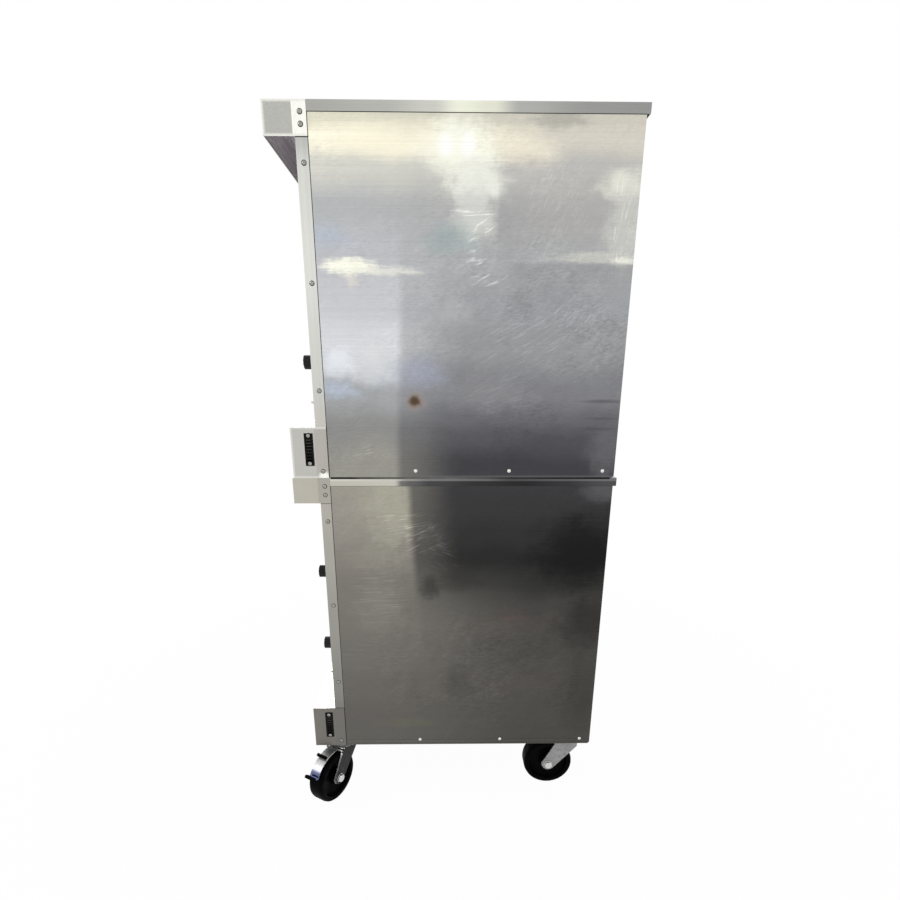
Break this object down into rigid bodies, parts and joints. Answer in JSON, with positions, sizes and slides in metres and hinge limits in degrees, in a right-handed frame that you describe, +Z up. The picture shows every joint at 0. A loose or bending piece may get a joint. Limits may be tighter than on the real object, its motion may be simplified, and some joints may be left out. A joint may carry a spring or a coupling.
{
  "type": "double deck convection oven",
  "caption": "Two stacked convection ovens on casters: paired glazed doors that open together, side controls, wire racks, a blower and heating ring in each.",
  "frame": {"origin": "on the floor, below the middle of the whole object's box", "axes": "+Z up, -Y towards the doors, +X towards the controls"},
  "size_m": [1.1248, 0.858, 1.816],
  "materials": {
    "stainless": "brushed, worn",
    "galvanised": "aluminised sheet",
    "zinc": "zinc plated",
    "bright_plate": "bright plated",
    "plated_wire": "plated wire",
    "screw_steel": "bright",
    "enamel": "glossy enamel",
    "motor_paint": "satin paint",
    "element": "oxidised sheath",
    "black_plastic": "satin",
    "caster_rubber": "worn",
    "seal": "matte",
    "amber": "clear lens",
    "wool": "mineral wool",
    "glass": "clear"
  },
  "bodies": {
    "root": {"bottom_pans": "galvanised", "caster_plates": "zinc", "side_vents": "black_plastic", "side_panels_left": "stainless", "back_panels": "galvanised", "insulation": "wool", "door_seals": "seal", "control_panels": "stainless", "control_bodies": "black_plastic", "indicator_lamps": "amber", "rack_guides": "plated_wire", "fan_baffles": "enamel", "heating_elements": "element", "blower_motors": "motor_paint", "screws": "screw_steel", "hinge_brackets": "zinc", "upper_front_frame": "stainless", "upper_top_hood": "stainless", "upper_bottom_cover": "stainless", "upper_side_panel_right": "stainless", "upper_top_panel": "stainless", "upper_cavity": "enamel", "lower_front_frame": "stainless", "lower_top_hood": "stainless", "lower_bottom_cover": "stainless", "lower_side_panel_right": "stainless", "lower_top_panel": "stainless", "lower_cavity": "enamel"},
    "caster_fork_front_right": {"caster_fork_front_right": "zinc"},
    "caster_wheel_front_right": {"caster_wheel_front_right": "caster_rubber"},
    "brake_pedal_right": {"brake_pedal_right": "bright_plate"},
    "caster_fork_rear_right": {"caster_fork_rear_right": "zinc"},
    "caster_wheel_rear_right": {"caster_wheel_rear_right": "caster_rubber"},
    "caster_fork_front_left": {"caster_fork_front_left": "zinc"},
    "caster_wheel_front_left": {"caster_wheel_front_left": "caster_rubber"},
    "brake_pedal_left": {"brake_pedal_left": "bright_plate"},
    "caster_fork_rear_left": {"caster_fork_rear_left": "zinc"},
    "caster_wheel_rear_left": {"caster_wheel_rear_left": "caster_rubber"},
    "lower_door_left": {"lower_door_left": "stainless", "lower_door_glass_left": "glass"},
    "lower_door_right": {"lower_door_right": "stainless", "lower_door_glass_right": "glass", "lower_door_handle": "bright_plate"},
    "lower_thermostat_knob": {"lower_thermostat_knob": "black_plastic"},
    "lower_timer_knob": {"lower_timer_knob": "black_plastic"},
    "lower_power_switch": {"lower_power_switch": "bright_plate"},
    "lower_rack_high": {"lower_rack_high": "plated_wire"},
    "lower_rack_low": {"lower_rack_low": "plated_wire"},
    "lower_blower_wheel": {"lower_blower_wheel": "galvanised"},
    "upper_door_left": {"upper_door_left": "stainless", "upper_door_glass_left": "glass"},
    "upper_door_right": {"upper_door_right": "stainless", "upper_door_glass_right": "glass", "upper_door_handle": "bright_plate"},
    "upper_thermostat_spindle": {"upper_thermostat_spindle": "zinc"},
    "upper_timer_knob": {"upper_timer_knob": "black_plastic"},
    "upper_power_switch": {"upper_power_switch": "bright_plate"},
    "upper_rack_high": {"upper_rack_high": "plated_wire"},
    "upper_rack_low": {"upper_rack_low": "plated_wire"},
    "upper_blower_wheel": {"upper_blower_wheel": "galvanised"}
  },
  "joints": [
    {"name": "caster_fork_front_right_swivel", "type": "hinge", "parent": "root", "child": "caster_fork_front_right", "pos_m": [0.4225, -0.338, 0.16], "axis": [0, 0, 1], "continuous": true},
    {"name": "caster_wheel_front_right_spin", "type": "hinge", "parent": "caster_fork_front_right", "child": "caster_wheel_front_right", "pos_m": [0.47273, -0.367, 0.076], "axis": [0.5, 0.866, 0], "continuous": true},
    {"name": "brake_pedal_right_press", "type": "hinge", "parent": "caster_fork_front_right", "child": "brake_pedal_right", "pos_m": [0.45326, -0.35576, 0.155], "axis": [0.5, 0.866, 0], "range_deg": [0, 4]},
    {"name": "caster_fork_rear_right_swivel", "type": "hinge", "parent": "root", "child": "caster_fork_rear_right", "pos_m": [0.4045, 0.37, 0.16], "axis": [0, 0, 1], "continuous": true},
    {"name": "caster_wheel_rear_right_spin", "type": "hinge", "parent": "caster_fork_rear_right", "child": "caster_wheel_rear_right", "pos_m": [0.4045, 0.312, 0.076], "axis": [1, 0, 0], "continuous": true},
    {"name": "caster_fork_front_left_swivel", "type": "hinge", "parent": "root", "child": "caster_fork_front_left", "pos_m": [-0.4225, -0.338, 0.16], "axis": [0, 0, 1], "continuous": true},
    {"name": "caster_wheel_front_left_spin", "type": "hinge", "parent": "caster_fork_front_left", "child": "caster_wheel_front_left", "pos_m": [-0.47273, -0.367, 0.076], "axis": [0.5, -0.866, 0], "continuous": true},
    {"name": "brake_pedal_left_press", "type": "hinge", "parent": "caster_fork_front_left", "child": "brake_pedal_left", "pos_m": [-0.45326, -0.35576, 0.155], "axis": [0.5, -0.866, 0], "range_deg": [0, 4]},
    {"name": "caster_fork_rear_left_swivel", "type": "hinge", "parent": "root", "child": "caster_fork_rear_left", "pos_m": [-0.4045, 0.37, 0.16], "axis": [0, 0, 1], "continuous": true},
    {"name": "caster_wheel_rear_left_spin", "type": "hinge", "parent": "caster_fork_rear_left", "child": "caster_wheel_rear_left", "pos_m": [-0.4045, 0.312, 0.076], "axis": [1, 0, 0], "continuous": true},
    {"name": "lower_door_right_hinge", "type": "hinge", "parent": "root", "child": "lower_door_right", "pos_m": [0.3045, -0.36, 0.627], "axis": [0, 0, 1], "range_deg": [0, 120]},
    {"name": "lower_door_left_hinge", "type": "hinge", "parent": "root", "child": "lower_door_left", "pos_m": [-0.4565, -0.36, 0.627], "axis": [0, 0, -1], "range_deg": [0, 120]},
    {"name": "lower_thermostat_knob_turn", "type": "hinge", "parent": "root", "child": "lower_thermostat_knob", "pos_m": [0.3725, -0.361, 0.708], "axis": [0, 1, 0], "range_deg": [0, 300]},
    {"name": "lower_timer_knob_turn", "type": "hinge", "parent": "root", "child": "lower_timer_knob", "pos_m": [0.3725, -0.361, 0.476], "axis": [0, 1, 0], "range_deg": [0, 270]},
    {"name": "lower_power_switch_tip", "type": "hinge", "parent": "root", "child": "lower_power_switch", "pos_m": [0.3725, -0.3465, 0.369], "axis": [1, 0, 0], "range_deg": [0, 24]},
    {"name": "lower_rack_high_slide", "type": "slide", "parent": "root", "child": "lower_rack_high", "axis": [0, -1, 0], "range_m": [0, 0.02]},
    {"name": "lower_rack_low_slide", "type": "slide", "parent": "root", "child": "lower_rack_low", "axis": [0, -1, 0], "range_m": [0, 0.02]},
    {"name": "lower_blower_wheel_spin", "type": "hinge", "parent": "root", "child": "lower_blower_wheel", "pos_m": [-0.076, 0.288, 0.616], "axis": [0, 1, 0], "continuous": true},
    {"name": "upper_door_right_hinge", "type": "hinge", "parent": "root", "child": "upper_door_right", "pos_m": [0.3045, -0.36, 1.44], "axis": [0, 0, 1], "range_deg": [0, 120]},
    {"name": "upper_door_left_hinge", "type": "hinge", "parent": "root", "child": "upper_door_left", "pos_m": [-0.4565, -0.36, 1.44], "axis": [0, 0, -1], "range_deg": [0, 120]},
    {"name": "upper_thermostat_spindle_turn", "type": "hinge", "parent": "root", "child": "upper_thermostat_spindle", "pos_m": [0.3725, -0.361, 1.521], "axis": [0, 1, 0], "range_deg": [0, 300]},
    {"name": "upper_timer_knob_turn", "type": "hinge", "parent": "root", "child": "upper_timer_knob", "pos_m": [0.3725, -0.361, 1.289], "axis": [0, 1, 0], "range_deg": [0, 270]},
    {"name": "upper_power_switch_tip", "type": "hinge", "parent": "root", "child": "upper_power_switch", "pos_m": [0.3725, -0.3465, 1.182], "axis": [1, 0, 0], "range_deg": [0, 24]},
    {"name": "upper_rack_high_slide", "type": "slide", "parent": "root", "child": "upper_rack_high", "axis": [0, -1, 0], "range_m": [0, 0.02]},
    {"name": "upper_rack_low_slide", "type": "slide", "parent": "root", "child": "upper_rack_low", "axis": [0, -1, 0], "range_m": [0, 0.02]},
    {"name": "upper_blower_wheel_spin", "type": "hinge", "parent": "root", "child": "upper_blower_wheel", "pos_m": [-0.076, 0.288, 1.429], "axis": [0, 1, 0], "continuous": true}
  ],
  "couplings": [
    {"joint": "lower_door_left_hinge", "follows": "lower_door_right_hinge", "ratio": 1},
    {"joint": "upper_door_left_hinge", "follows": "upper_door_right_hinge", "ratio": 1}
  ]
}
